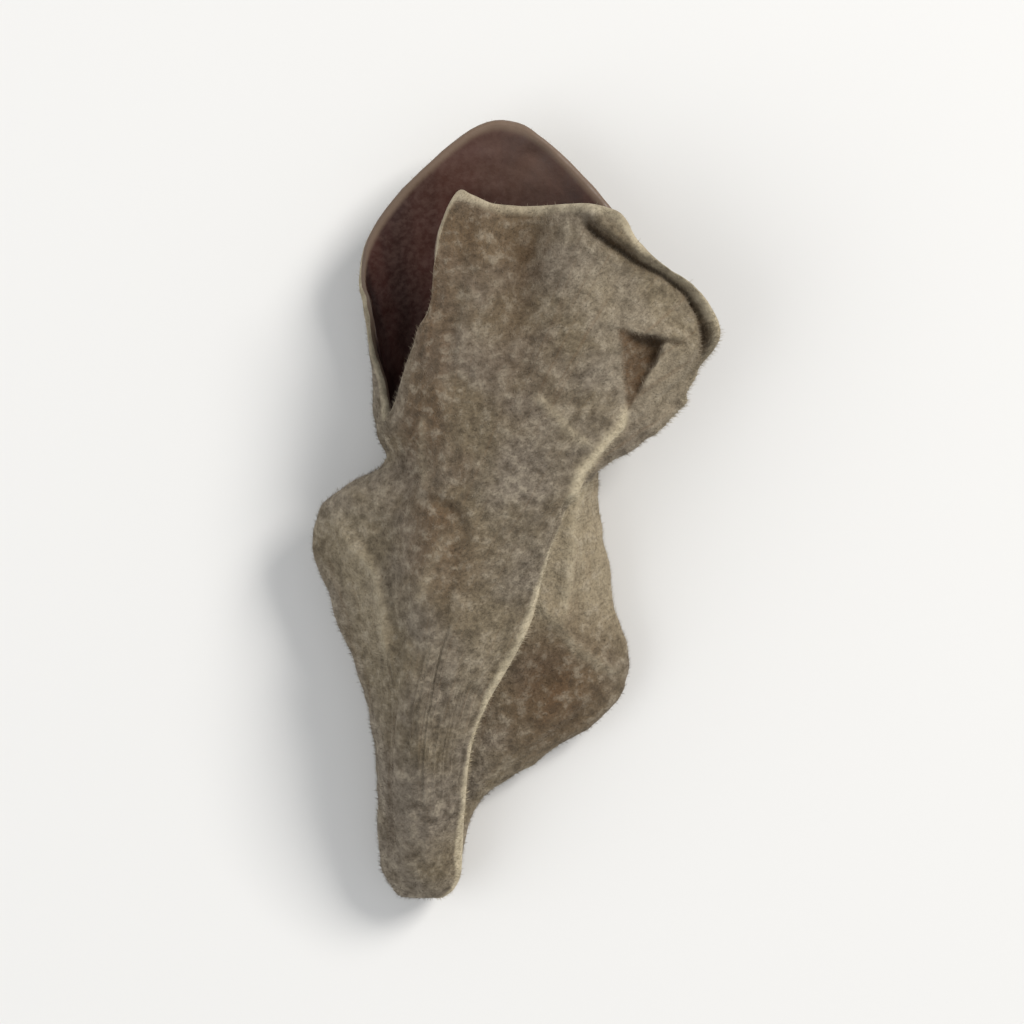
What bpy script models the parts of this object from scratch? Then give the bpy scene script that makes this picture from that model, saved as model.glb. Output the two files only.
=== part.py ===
"""One dried wood ear, rolled up like a cornet and lying on its back.

The ear is a single sheet of flesh that grew from one foot. Its back is folded over to the front, where
the free edge of the sheet lies on the band that comes round from behind. +Y runs from the foot to the
open mouth, +X is to the right of someone who looks down on it, and Z is zero on the surface below.
"""

import bmesh
import bpy
import numpy as np

MM = 0.001

# Driving dimensions, in millimetres unless they are shares.
FLESH_AT_FOOT = 1.5
FLESH_AT_MARGIN = 0.85
THINNED_BY = 0.5  # share of a vein's length by which the flesh has thinned
STUB_MIDDLE = (-8.4, -33.8, 4.1)
STUB_ROUND = 3.0  # length of the rounded end
CUT_SHARE = 0.42  # width of the flat cut, as a share of the stub's
STUB_SOLID = 0.2  # share of a vein's length before the fold opens into a hollow
SLIT_PLACES = (0.15, 0.85)  # where the slit starts and ends between the two edges of the sheet
SETTLE = 0.7  # how far the drawn roll is lowered onto the surface below
FELT_COLOUR = (0.16, 0.125, 0.09, 1.0)

# The trough that runs down the front from the mouth.
VALLEY_DEPTH = 1.5
VALLEY_MIDDLE_X = 1.0
VALLEY_WIDTH = 3.2
VALLEY_FADE_Y = (10.0, 27.0)

# The three-cornered hollow in the right lobe: its corners in plan, clockwise, and how far inside each
# of its sides the full depth is reached.
POCKET_DEPTH = 1.8
POCKET_CORNERS = ((9.5, 18.3), (13.8, 17.3), (10.3, 10.9))
POCKET_SLOPES = (0.7, 0.8, 2.8)

# The groove just inside the right margin and the lip beyond it, as shares of a vein's length.
GROOVE_DEPTH = 1.1
GROOVE_PLACE = 0.965
GROOVE_WIDTH = 0.018
LIP_HEIGHT = 0.7
CURL_REACH = 0.09

# The pinch above the left lobe, which leaves the lobe with a corner.
PINCH_DEPTH = 2.8
PINCH_MIDDLE_Y = 6.4
PINCH_WIDTH = 2.3
PINCH_REACH = 0.12

# The grid: strips from the foot to the margin, and rows along each strip. Rows lie closer together at
# the foot and at the margin: each pair is a row and its place from foot to margin.
ACROSS = 66
ALONG = 34
ROW_PLACES = ((0, 0.0), (2, 0.016), (5, 0.08), (20, 0.72), (ALONG, 1.0))

# Lines that run in the flesh from the foot to the margin, in order round the roll. Each has the same
# number of points, so that together they are the cage that the sheet is drawn through.
VEINS = {
    "free_edge": [(-4.8, -33.8, 4.6), (-4.5, -25.6, 7.4), (-3.4, -17.6, 10.2), (1.5, -8.0, 12.2),
                  (4.0, 2.0, 12.6), (9.6, 9.3, 10.2)],
    "flap": [(-5.4, -33.8, 5.6), (-5.5, -26.0, 8.8), (-4.7, -17.6, 11.8), (-0.2, -7.4, 13.8),
             (5.2, 3.4, 14.0), (13.6, 9.6, 9.2)],
    "flap_side": [(-6.1, -33.8, 6.2), (-6.3, -26.1, 9.6), (-5.6, -17.4, 12.6), (-1.2, -6.4, 14.8),
                  (6.6, 5.8, 14.8), (15.8, 13.0, 9.6)],
    "lobe": [(-6.9, -33.8, 6.6), (-7.0, -26.2, 10.1), (-6.3, -17.2, 13.2), (-2.2, -5.2, 15.6),
             (7.2, 9.0, 15.8), (18.2, 17.6, 10.6)],
    "shoulder": [(-7.6, -33.8, 6.8), (-7.7, -26.3, 10.4), (-7.0, -16.6, 13.7), (-3.2, -3.8, 16.2),
                 (6.0, 11.8, 16.6), (16.6, 21.8, 12.2)],
    "curl": [(-8.3, -33.8, 6.8), (-8.4, -26.3, 10.4), (-7.8, -16.4, 14.0), (-4.0, -3.0, 16.6),
             (4.2, 12.8, 17.0), (11.8, 25.0, 14.6)],
    "crown": [(-9.1, -33.8, 6.6), (-9.3, -26.2, 10.1), (-8.8, -15.8, 13.9), (-5.2, -1.8, 16.6),
              (2.0, 14.6, 17.2), (8.4, 28.8, 15.8)],
    "top": [(-10.0, -33.8, 6.2), (-10.3, -26.1, 9.4), (-9.9, -15.4, 13.1), (-7.0, -1.0, 16.0),
            (-2.6, 15.4, 16.6), (-0.9, 29.2, 15.0)],
    "corner": [(-10.8, -33.8, 5.6), (-11.2, -26.0, 8.3), (-11.2, -15.0, 11.4), (-9.4, -1.2, 14.2),
               (-6.6, 15.6, 15.6), (-5.3, 29.8, 15.4)],
    "left_edge": [(-11.6, -33.8, 4.8), (-12.0, -26.0, 6.8), (-12.4, -15.6, 9.0), (-12.0, -4.4, 11.0),
                  (-10.8, 6.6, 12.8), (-7.8, 20.4, 14.6)],
    "left_fold": [(-12.0, -33.8, 3.8), (-12.6, -25.8, 4.8), (-13.0, -16.4, 5.4), (-16.6, -6.6, 6.2),
                  (-18.0, 1.6, 7.0), (-10.6, 10.2, 9.0)],
    "left_back": [(-11.6, -33.8, 2.6), (-11.8, -26.0, 2.2), (-12.0, -16.0, 1.6), (-14.0, -5.4, 1.6),
                  (-13.6, 4.6, 2.8), (-12.4, 14.0, 5.6)],
    "back_left": [(-10.4, -33.8, 1.8), (-9.8, -25.8, 1.0), (-8.8, -14.6, 0.7), (-9.4, 0.0, 0.7),
                  (-10.4, 13.4, 1.8), (-13.6, 26.6, 6.4)],
    "back": [(-8.8, -33.8, 1.5), (-7.4, -25.2, 0.8), (-5.0, -13.0, 0.6), (-4.0, 3.4, 0.6),
             (-3.8, 21.0, 1.4), (-2.2, 37.6, 7.0)],
    "back_right": [(-7.2, -33.8, 1.6), (-4.6, -24.8, 1.1), (0.2, -13.4, 0.7), (2.8, 2.4, 0.6),
                   (5.0, 18.0, 1.7), (7.0, 32.2, 6.6)],
    "right_fold": [(-5.8, -33.8, 2.0), (-2.4, -24.6, 2.8), (10.0, -15.0, 3.6), (8.9, -4.0, 4.2),
                   (8.0, 8.0, 4.8), (12.8, 22.0, 7.0)],
    "band": [(-5.0, -33.8, 2.6), (-3.2, -24.8, 4.8), (4.0, -14.8, 7.2), (5.5, -4.4, 8.8),
             (6.2, 4.4, 8.6), (8.6, 13.8, 9.0)],
    "tucked_edge": [(-4.8, -33.8, 3.2), (-5.6, -25.4, 5.6), (-5.2, -16.6, 8.6), (-2.0, -5.8, 11.2),
                    (-0.2, 4.0, 12.0), (0.6, 11.4, 12.2)],
}


def ease(start, end, value):
    """0 before start, 1 after end, and a smooth step between them."""
    t = np.clip((value - start) / (end - start), 0.0, 1.0)
    return t * t * (3.0 - 2.0 * t)


def bump(middle, width, value):
    """A rounded bump that is 1 at its middle."""
    return np.exp(-(((value - middle) / width) ** 2))


def smooth_weights(count, t):
    """How much each of `count` points counts at places t (0 to 1) on the smooth curve through them."""
    place = np.clip(t, 0.0, 1.0) * (count - 1)
    span = np.minimum(place.astype(int), count - 2)
    f = (place - span)[:, None]
    shares = np.hstack([
        -0.5 * f + f**2 - 0.5 * f**3,
        1.0 - 2.5 * f**2 + 1.5 * f**3,
        0.5 * f + 2.0 * f**2 - 1.5 * f**3,
        -0.5 * f**2 + 0.5 * f**3,
    ])
    weights = np.zeros((len(place), count + 2))
    for step in range(4):
        weights[np.arange(len(place)), span + step] += shares[:, step]
    # The curve runs straight on past both ends.
    weights[:, 1] += 2.0 * weights[:, 0]
    weights[:, 2] -= weights[:, 0]
    weights[:, -2] += 2.0 * weights[:, -1]
    weights[:, -3] -= weights[:, -1]
    return weights[:, 1:-1]


def vein_place(name):
    """Where a vein lies across the sheet, from 0 at the free edge to 1 at the tucked edge."""
    return list(VEINS).index(name) / (len(VEINS) - 1)


def skin(u, v):
    """Points of the sheet's outer side, u from foot to margin and v across, one row for each v."""
    cage = np.array(list(VEINS.values()))
    across = smooth_weights(len(cage), v)
    along = smooth_weights(cage.shape[1], u)
    points = np.einsum("vi,uj,ijk->vuk", across, along, cage)
    front = 1.0 - ease(vein_place("corner"), vein_place("left_fold"), v)[:, None]
    right = bump(vein_place("curl"), CURL_REACH, v)[:, None]
    left = bump(vein_place("left_fold"), PINCH_REACH, v)[:, None]
    points[..., 2] -= front * (valley(points) + pocket(points))
    points[..., 2] += right * curled_rim(u[None, :])
    points[..., 0] += left * PINCH_DEPTH * bump(PINCH_MIDDLE_Y, PINCH_WIDTH, points[..., 1])
    return round_stub(points)


def valley(points):
    """Depth of the trough in the front."""
    across = bump(VALLEY_MIDDLE_X, VALLEY_WIDTH, points[..., 0])
    return VALLEY_DEPTH * across * ease(*VALLEY_FADE_Y, points[..., 1])


def pocket(points):
    """Depth of the three-cornered hollow, steep above and on the right."""
    depth = np.full(points.shape[:-1], POCKET_DEPTH)
    next_corners = POCKET_CORNERS[1:] + POCKET_CORNERS[:1]
    for start, end, slope in zip(POCKET_CORNERS, next_corners, POCKET_SLOPES):
        side = np.subtract(end, start)
        offset = points[..., :2] - start
        inside = (offset[..., 0] * side[1] - offset[..., 1] * side[0]) / np.hypot(*side)
        depth *= ease(-slope / 2.0, slope, inside)
    return depth


def curled_rim(u):
    """Height of the groove and of the lip outside it."""
    return LIP_HEIGHT * ease(GROOVE_PLACE, 1.0, u) - GROOVE_DEPTH * bump(GROOVE_PLACE, GROOVE_WIDTH, u)


def round_stub(points):
    """Rounds the end of the stub towards its flat cut."""
    middle = np.array(STUB_MIDDLE)
    from_end = np.clip((points[..., 1] - middle[1]) / STUB_ROUND, 0.0, 1.0)
    size = CUT_SHARE + (1.0 - CUT_SHARE) * np.sqrt(1.0 - (1.0 - from_end) ** 2)
    for axis in (0, 2):
        points[..., axis] = middle[axis] + (points[..., axis] - middle[axis]) * size
    return points


def flesh(u):
    """Thickness of the sheet, from foot to margin."""
    return FLESH_AT_MARGIN + (FLESH_AT_FOOT - FLESH_AT_MARGIN) * (1.0 - ease(0.0, THINNED_BY, u))


def row_places():
    """Where the rows of the grid lie from foot to margin."""
    rows, places = zip(*ROW_PLACES)
    return np.interp(np.arange(ALONG + 1), rows, places)


def lay_down(points):
    """Lowers the roll onto the surface below and flattens its back where it lies."""
    points[..., 2] = np.maximum(points[..., 2] - SETTLE, 0.0)
    return points


def clear_scene():
    for item in list(bpy.data.objects):
        bpy.data.objects.remove(item, do_unlink=True)


def felt_material():
    material = bpy.data.materials.new("dried_felt")
    material.use_nodes = True
    shader = material.node_tree.nodes["Principled BSDF"]
    shader.inputs["Base Color"].default_value = FELT_COLOUR
    shader.inputs["Roughness"].default_value = 0.9
    shader.inputs["Metallic"].default_value = 0.0
    return material


def open_sheet(collection):
    """The outer side alone: a grid whose rows run from the foot to the margin."""
    mesh = bpy.data.meshes.new("sheet")
    bm = bmesh.new()
    bmesh.ops.create_grid(bm, x_segments=ALONG, y_segments=ACROSS, size=1.0)
    bm.to_mesh(mesh)
    bm.free()
    outer = lay_down(skin(row_places(), np.linspace(0.0, 1.0, ACROSS + 1)))
    mesh.vertices.foreach_set("co", (outer * MM).ravel())
    sheet = bpy.data.objects.new("sheet", mesh)
    collection.objects.link(sheet)
    return sheet


def thicken(sheet):
    """Gives the sheet its flesh, thickest at the foot, and returns the mesh of the closed solid."""
    share = sheet.vertex_groups.new(name="flesh")
    shares = flesh(row_places()) / FLESH_AT_FOOT
    for index in range(len(sheet.data.vertices)):
        share.add([index], shares[index % (ALONG + 1)], "REPLACE")
    solidify = sheet.modifiers.new("flesh", "SOLIDIFY")
    solidify.thickness = FLESH_AT_FOOT * MM
    solidify.offset = -1.0
    solidify.vertex_group = share.name
    evaluated = sheet.evaluated_get(bpy.context.evaluated_depsgraph_get())
    return bpy.data.meshes.new_from_object(evaluated)


def close_foot(mesh):
    """Draws the inner side out to the slit near the foot, so that the stub is solid flesh."""
    points = np.empty(len(mesh.vertices) * 3)
    mesh.vertices.foreach_get("co", points)
    outer, inner = points.reshape(2, ACROSS + 1, ALONG + 1, 3)
    hollow = ease(0.0, STUB_SOLID, row_places())[None, :, None]
    step = np.linspace(*SLIT_PLACES, ACROSS + 1)[:, None, None]
    slit = outer[:1] + (outer[-1:] - outer[:1]) * step
    inner[:] = slit + (inner - slit) * hollow
    mesh.vertices.foreach_set("co", points)


def centre(mesh):
    """Puts the origin under the middle of the ear's length and width."""
    points = np.empty(len(mesh.vertices) * 3)
    mesh.vertices.foreach_get("co", points)
    points = points.reshape(-1, 3)
    points[:, :2] -= (points[:, :2].min(axis=0) + points[:, :2].max(axis=0)) / 2.0
    mesh.vertices.foreach_set("co", points.ravel())


def build_ear(collection):
    sheet = open_sheet(collection)
    mesh = thicken(sheet)
    bpy.data.objects.remove(sheet, do_unlink=True)
    close_foot(mesh)
    centre(mesh)
    mesh.name = "ear"
    mesh.shade_smooth()
    mesh.materials.append(felt_material())
    ear = bpy.data.objects.new("ear", mesh)
    collection.objects.link(ear)
    return ear


clear_scene()
wood_ear = bpy.data.collections.new("wood_ear")
bpy.context.scene.collection.children.link(wood_ear)
build_ear(wood_ear)
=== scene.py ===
import math

import bpy
import numpy as np
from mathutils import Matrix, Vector, noise


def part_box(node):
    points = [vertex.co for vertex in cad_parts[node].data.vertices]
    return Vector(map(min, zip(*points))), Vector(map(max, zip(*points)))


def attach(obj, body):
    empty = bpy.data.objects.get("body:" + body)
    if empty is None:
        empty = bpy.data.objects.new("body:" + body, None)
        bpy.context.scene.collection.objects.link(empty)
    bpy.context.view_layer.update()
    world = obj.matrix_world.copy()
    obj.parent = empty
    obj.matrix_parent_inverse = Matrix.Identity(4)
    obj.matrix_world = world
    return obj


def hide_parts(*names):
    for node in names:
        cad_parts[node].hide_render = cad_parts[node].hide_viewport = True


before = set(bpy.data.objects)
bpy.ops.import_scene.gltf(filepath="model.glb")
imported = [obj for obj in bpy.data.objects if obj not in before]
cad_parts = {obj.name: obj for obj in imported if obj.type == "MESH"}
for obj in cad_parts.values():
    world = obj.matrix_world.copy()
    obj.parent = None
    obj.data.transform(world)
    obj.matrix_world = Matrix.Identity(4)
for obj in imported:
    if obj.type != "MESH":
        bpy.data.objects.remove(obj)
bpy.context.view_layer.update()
mm = 0.001

# lines in the flesh from the foot to the margin, in order round the roll, in millimetres
veins = {
    "freeEdge": [(-4.8, -33.8, 4.6), (-4.5, -25.6, 7.4), (-3.4, -17.6, 10.2), (1.5, -8.0, 12.2),
                 (4.0, 2.0, 12.6), (9.6, 9.3, 10.2)],
    "flap": [(-5.4, -33.8, 5.6), (-5.5, -26.0, 8.8), (-4.7, -17.6, 11.8), (-0.2, -7.4, 13.8),
             (5.2, 3.4, 14.0), (13.6, 9.6, 9.2)],
    "flapSide": [(-6.1, -33.8, 6.2), (-6.3, -26.1, 9.6), (-5.6, -17.4, 12.6), (-1.2, -6.4, 14.8),
                 (6.6, 5.8, 14.8), (15.8, 13.0, 9.6)],
    "lobe": [(-6.9, -33.8, 6.6), (-7.0, -26.2, 10.1), (-6.3, -17.2, 13.2), (-2.2, -5.2, 15.6),
             (7.2, 9.0, 15.8), (18.2, 17.6, 10.6)],
    "shoulder": [(-7.6, -33.8, 6.8), (-7.7, -26.3, 10.4), (-7.0, -16.6, 13.7), (-3.2, -3.8, 16.2),
                 (6.0, 11.8, 16.6), (16.6, 21.8, 12.2)],
    "curl": [(-8.3, -33.8, 6.8), (-8.4, -26.3, 10.4), (-7.8, -16.4, 14.0), (-4.0, -3.0, 16.6),
             (4.2, 12.8, 17.0), (11.8, 25.0, 14.6)],
    "crown": [(-9.1, -33.8, 6.6), (-9.3, -26.2, 10.1), (-8.8, -15.8, 13.9), (-5.2, -1.8, 16.6),
              (2.0, 14.6, 17.2), (8.4, 28.8, 15.8)],
    "top": [(-10.0, -33.8, 6.2), (-10.3, -26.1, 9.4), (-9.9, -15.4, 13.1), (-7.0, -1.0, 16.0),
            (-2.6, 15.4, 16.6), (-0.9, 29.2, 15.0)],
    "corner": [(-10.8, -33.8, 5.6), (-11.2, -26.0, 8.3), (-11.2, -15.0, 11.4), (-9.4, -1.2, 14.2),
               (-6.6, 15.6, 15.6), (-5.3, 29.8, 15.4)],
    "leftEdge": [(-11.6, -33.8, 4.8), (-12.0, -26.0, 6.8), (-12.4, -15.6, 9.0), (-12.0, -4.4, 11.0),
                 (-10.8, 6.6, 12.8), (-7.8, 20.4, 14.6)],
    "leftFold": [(-12.0, -33.8, 3.8), (-12.6, -25.8, 4.8), (-13.0, -16.4, 5.4), (-16.6, -6.6, 6.2),
                 (-18.0, 1.6, 7.0), (-10.6, 10.2, 9.0)],
    "leftBack": [(-11.6, -33.8, 2.6), (-11.8, -26.0, 2.2), (-12.0, -16.0, 1.6), (-14.0, -5.4, 1.6),
                 (-13.6, 4.6, 2.8), (-12.4, 14.0, 5.6)],
    "backLeft": [(-10.4, -33.8, 1.8), (-9.8, -25.8, 1.0), (-8.8, -14.6, 0.7), (-9.4, 0.0, 0.7),
                 (-10.4, 13.4, 1.8), (-13.6, 26.6, 6.4)],
    "back": [(-8.8, -33.8, 1.5), (-7.4, -25.2, 0.8), (-5.0, -13.0, 0.6), (-4.0, 3.4, 0.6),
             (-3.8, 21.0, 1.4), (-2.2, 37.6, 7.0)],
    "backRight": [(-7.2, -33.8, 1.6), (-4.6, -24.8, 1.1), (0.2, -13.4, 0.7), (2.8, 2.4, 0.6),
                  (5.0, 18.0, 1.7), (7.0, 32.2, 6.6)],
    "rightFold": [(-5.8, -33.8, 2.0), (-2.4, -24.6, 2.8), (10.0, -15.0, 3.6), (8.9, -4.0, 4.2),
                  (8.0, 8.0, 4.8), (12.8, 22.0, 7.0)],
    "band": [(-5.0, -33.8, 2.6), (-3.2, -24.8, 4.8), (4.0, -14.8, 7.2), (5.5, -4.4, 8.8),
             (6.2, 4.4, 8.6), (8.6, 13.8, 9.0)],
    "tuckedEdge": [(-4.8, -33.8, 3.2), (-5.6, -25.4, 5.6), (-5.2, -16.6, 8.6), (-2.0, -5.8, 11.2),
                   (-0.2, 4.0, 12.0), (0.6, 11.4, 12.2)],
}

sheetSettings = {
    "stepsAcross": 300,          # round the roll
    "stepsAlong": 155,           # from foot to margin
    "columnPlaces": [(0.0, 0.0), (0.55, 0.53), (0.79, 0.82), (1.0, 1.0)],
    "rowPlaces": [(0.0, 0.0), (0.03, 0.008), (0.08, 0.05), (0.21, 0.4), (0.4, 0.6), (0.66, 0.8),
                  (1.0, 1.0)],
    "fleshAtFoot": 1.5,          # thickness, mm
    "fleshAtMargin": 0.85,
    "thinnedBy": 0.5,            # share of a vein by which the flesh has thinned
    "solidStub": 0.2,            # share of a vein before the fold opens
    "slitPlaces": (0.15, 0.85),  # start and end of the slit between the sheet's two edges
    "stubMiddle": (-8.4, -33.8, 4.1),
    "stubRound": 3.0,
    "cutShare": 0.42,            # width of the flat cut against the stub's
    "settle": 0.7,               # the roll is lowered this far and flattened where it lies
    "valleyDepth": 1.5,
    "valleyMiddle": 1.0,
    "valleyWidth": 3.2,
    "valleyFade": (10.0, 27.0),
    "pocketDepth": 1.6,
    "pocketCorners": [(9.5, 18.3), (13.8, 17.3), (10.3, 10.9)],
    "pocketSlopes": [0.4, 0.5, 3.4],
    "pinchDepth": 2.8,           # above the left lobe
    "pinchMiddle": 6.4,
    "pinchWidth": 2.3,
    "lipHeight": 0.5,            # the right margin turns up
    "pucker": 0.24,              # height of the long wrinkles, mm
    "puckerGrain": (34.0, 2.6, 3.0),
    "stubGrain": (0.5, 0.1, 0.5),
    "shrivel": 0.42,             # height of the broad uneven shrinkage, mm
    "shrivelSize": 6.5,          # mm
    "crumple": 0.15,             # height of the small unevenness, mm
    "crumpleSize": 2.1,
    "edgeSteps": 4,              # round the thickness of the free edges
    "edgeBulge": 0.45,           # share of the thickness
    "edgeRoll": 0.36,            # height of the rolled free edge, mm
    "edgeRollPlace": 0.55,
    "edgeRollWidth": 0.6,
    "marginWave": 0.55,          # mm
    "backWave": 1.1,
    "waveReach": 8.0,
    "waveGrain": (24.0, 2.0),
    "marginNick": 0.1,           # mm
    "flapNick": 0.8,
    "nickReach": 2.5,
    "nickGrain": (55.0, 9.0),
}


def ease(start, end, value):
    t = np.clip((value - start) / (end - start), 0.0, 1.0)
    return t * t * (3.0 - 2.0 * t)


def bump(middle, width, value):
    return np.exp(-(((value - middle) / width) ** 2))


def smoothWeights(count, t):      # weights of a smooth curve through equally spaced points
    place = np.clip(t, 0.0, 1.0) * (count - 1)
    span = np.minimum(place.astype(int), count - 2)
    f = (place - span)[:, None]
    shares = np.hstack([
        -0.5 * f + f**2 - 0.5 * f**3,
        1.0 - 2.5 * f**2 + 1.5 * f**3,
        0.5 * f + 2.0 * f**2 - 1.5 * f**3,
        -0.5 * f**2 + 0.5 * f**3,
    ])
    weights = np.zeros((len(place), count + 2))
    for step in range(4):
        weights[np.arange(len(place)), span + step] += shares[:, step]
    weights[:, 1] += 2.0 * weights[:, 0]      # runs straight on past both ends
    weights[:, 2] -= weights[:, 0]
    weights[:, -2] += 2.0 * weights[:, -1]
    weights[:, -3] -= weights[:, -1]
    return weights[:, 1:-1]


def veinPlace(name):
    return list(veins).index(name) / (len(veins) - 1)


def valley(p):                    # shallow trough that runs down the front from the mouth
    sheet = sheetSettings
    across = bump(sheet["valleyMiddle"], sheet["valleyWidth"], p[..., 0])
    return sheet["valleyDepth"] * across * ease(*sheet["valleyFade"], p[..., 1])


def insidePocket(p):              # how far inside each side of the three-cornered hollow
    corners = sheetSettings["pocketCorners"]
    gaps = []
    for start, end in zip(corners, corners[1:] + corners[:1]):
        side = np.subtract(end, start)
        offset = p[..., :2] - start
        gaps.append((offset[..., 0] * side[1] - offset[..., 1] * side[0]) / np.hypot(*side))
    return gaps


def pocket(p):
    depth = np.full(p.shape[:-1], sheetSettings["pocketDepth"])
    for gap, slope in zip(insidePocket(p), sheetSettings["pocketSlopes"]):
        depth *= ease(-slope / 2.0, slope, gap)
    return depth


def roundStub(p):
    middle = np.array(sheetSettings["stubMiddle"])
    fromEnd = np.clip((p[..., 1] - middle[1]) / sheetSettings["stubRound"], 0.0, 1.0)
    cut = sheetSettings["cutShare"]
    size = cut + (1.0 - cut) * np.sqrt(1.0 - (1.0 - fromEnd) ** 2)
    for axis in (0, 2):
        p[..., axis] = middle[axis] + (p[..., axis] - middle[axis]) * size
    return p


def drawnSheet(u, v):             # the smooth outer side, one row for each v
    sheet = sheetSettings
    cage = np.array(list(veins.values()))
    across = smoothWeights(len(cage), v)
    along = smoothWeights(cage.shape[1], u)
    p = np.einsum("vi,uj,ijk->vuk", across, along, cage)
    front = 1.0 - ease(veinPlace("corner"), veinPlace("leftFold"), v)[:, None]
    right = bump(veinPlace("curl"), 0.09, v)[:, None]
    left = bump(veinPlace("leftFold"), 0.12, v)[:, None]
    p[..., 2] -= front * (valley(p) + pocket(p))
    p[..., 2] += sheet["lipHeight"] * right * ease(0.96, 1.0, u[None, :])
    p[..., 0] += left * sheet["pinchDepth"] * bump(sheet["pinchMiddle"], sheet["pinchWidth"], p[..., 1])
    return roundStub(p)


def unit(vectors):
    return vectors / np.maximum(np.linalg.norm(vectors, axis=-1, keepdims=True), 1e-9)


def surfaceNormals(p):
    return unit(np.cross(np.gradient(p, axis=1), np.gradient(p, axis=0)))


def alongVeins(p):
    return unit(np.gradient(p, axis=1))


def noiseField(coords, octaves=1):    # noise at each point, about -1 to 1
    flat = coords.reshape(-1, 3)
    if octaves == 1:
        values = [noise.noise(c) for c in flat.tolist()]
    else:
        values = [noise.fractal(c, 0.9, 2.1, octaves) for c in flat.tolist()]
    return np.array(values).reshape(coords.shape[:-1])


def distanceToPath(p, path):      # in plan: distance, side (left is positive) and place along the path
    best = np.full(p.shape[:-1], 1e9)
    side = np.zeros_like(best)
    place = np.zeros_like(best)
    corners = np.array(path, dtype=float)
    lengths = np.linalg.norm(np.diff(corners, axis=0), axis=1)
    walked = 0.0
    for start, end, length in zip(corners[:-1], corners[1:], lengths):
        along = (end - start) / length
        offset = p[..., :2] - start
        t = np.clip(offset @ along, 0.0, length)
        gap = offset - t[..., None] * along
        distance = np.linalg.norm(gap, axis=-1)
        near = distance < best
        best = np.where(near, distance, best)
        side = np.where(near, np.sign(along[0] * gap[..., 1] - along[1] * gap[..., 0]), side)
        place = np.where(near, (walked + t) / lengths.sum(), place)
        walked += length
    return best, side, place


# folds that can be told apart, in plan: each runs through its points and fades at both ends;
# a lip above zero is on the left of the path; a shade above zero is painted shade along the crease, below
# zero a painted highlight along a pale ridge
frontFolds = {
    "lobeStep": {"path": [(-16.0, 4.0), (-15.2, 1.0), (-13.0, -1.5), (-11.6, -3.6), (-10.8, -6.9),
                          (-10.3, -13.0)],
                 "depth": 0.12, "width": 0.35, "lip": -0.75, "reach": 3.8, "shade": 0.12},
    "lobeEdge": {"path": [(-16.2, 3.4), (-15.6, 0.6), (-13.4, -1.9), (-12.0, -4.0), (-11.2, -7.2),
                          (-10.8, -12.5)],
                 "depth": -0.12, "width": 0.5, "lip": 0.0, "reach": 1.0, "shade": -0.3},
    "curlGroove": {"path": [(5.0, 29.0), (7.2, 27.1), (9.0, 25.8), (11.2, 24.3), (13.8, 23.2), (16.0, 21.6),
                            (17.2, 19.6), (17.5, 17.2), (16.9, 14.6)],
                   "depth": 1.1, "width": 0.5, "lip": 0.55, "reach": 1.8, "shade": 0.75},
    "lipEdge": {"path": [(8.4, 29.6), (9.4, 28.2), (11.4, 25.5), (14.6, 23.9), (16.8, 21.8), (18.1, 19.0),
                         (18.4, 16.6)],
                "depth": -0.12, "width": 0.3, "lip": 0.0, "reach": 1.0, "shade": -0.9},
    "pocketSpike": {"path": [(11.6, 17.8), (13.6, 17.4), (15.8, 17.1)],
                    "depth": 0.4, "width": 0.25, "lip": 0.3, "reach": 1.5, "shade": 0.45},
    "eyeFold": {"path": [(-10.4, 2.8), (-8.6, 3.4), (-6.4, 3.1), (-4.9, 2.2), (-4.1, 0.6), (-3.8, -1.6)],
                "depth": 0.18, "width": 0.5, "lip": 0.24, "reach": 1.9, "shade": 0.22},
    "eyeRidge": {"path": [(-5.8, 0.6), (-6.6, -1.4), (-7.6, -4.0), (-8.6, -6.6)],
                 "depth": -0.14, "width": 0.5, "lip": 0.0, "reach": 1.0, "shade": -0.24},
    "flapRidge": {"path": [(4.6, 2.0), (6.0, 5.6), (8.2, 8.3), (9.6, 9.9), (10.2, 12.0)],
                  "depth": -0.45, "width": 0.4, "lip": 0.0, "reach": 1.0, "shade": -1.2},
    "crossRidge": {"path": [(1.6, 12.6), (3.6, 10.8), (5.6, 8.6), (7.6, 7.6)],
                   "depth": -0.2, "width": 0.4, "lip": 0.0, "reach": 1.0, "shade": -0.4},
    "leftRidge": {"path": [(-7.8, 11.0), (-8.1, 7.5), (-7.7, 3.6)],
                  "depth": -0.25, "width": 0.4, "lip": 0.0, "reach": 1.0, "shade": -0.3},
    "mouthFold": {"path": [(2.4, 32.0), (1.5, 26.4), (0.8, 22.0), (0.2, 17.0)],
                  "depth": 0.45, "width": 1.5, "lip": 0.0, "reach": 3.0, "shade": 0.15},
    "cornerFold": {"path": [(-3.2, 31.0), (-4.4, 24.0), (-6.2, 13.0)],
                   "depth": 0.35, "width": 1.0, "lip": 0.2, "reach": 2.2, "shade": 0.15},
    "crownFold": {"path": [(-5.0, -1.0), (-6.0, -8.0), (-6.9, -16.0)],
                  "depth": 0.25, "width": 0.9, "lip": 0.15, "reach": 2.0, "shade": 0.1},
    "stubFold": {"path": [(-10.6, -14.0), (-11.1, -20.0), (-10.9, -31.0)],
                 "depth": 0.25, "width": 0.45, "lip": 0.15, "reach": 1.5, "shade": 0.25},
}
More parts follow.
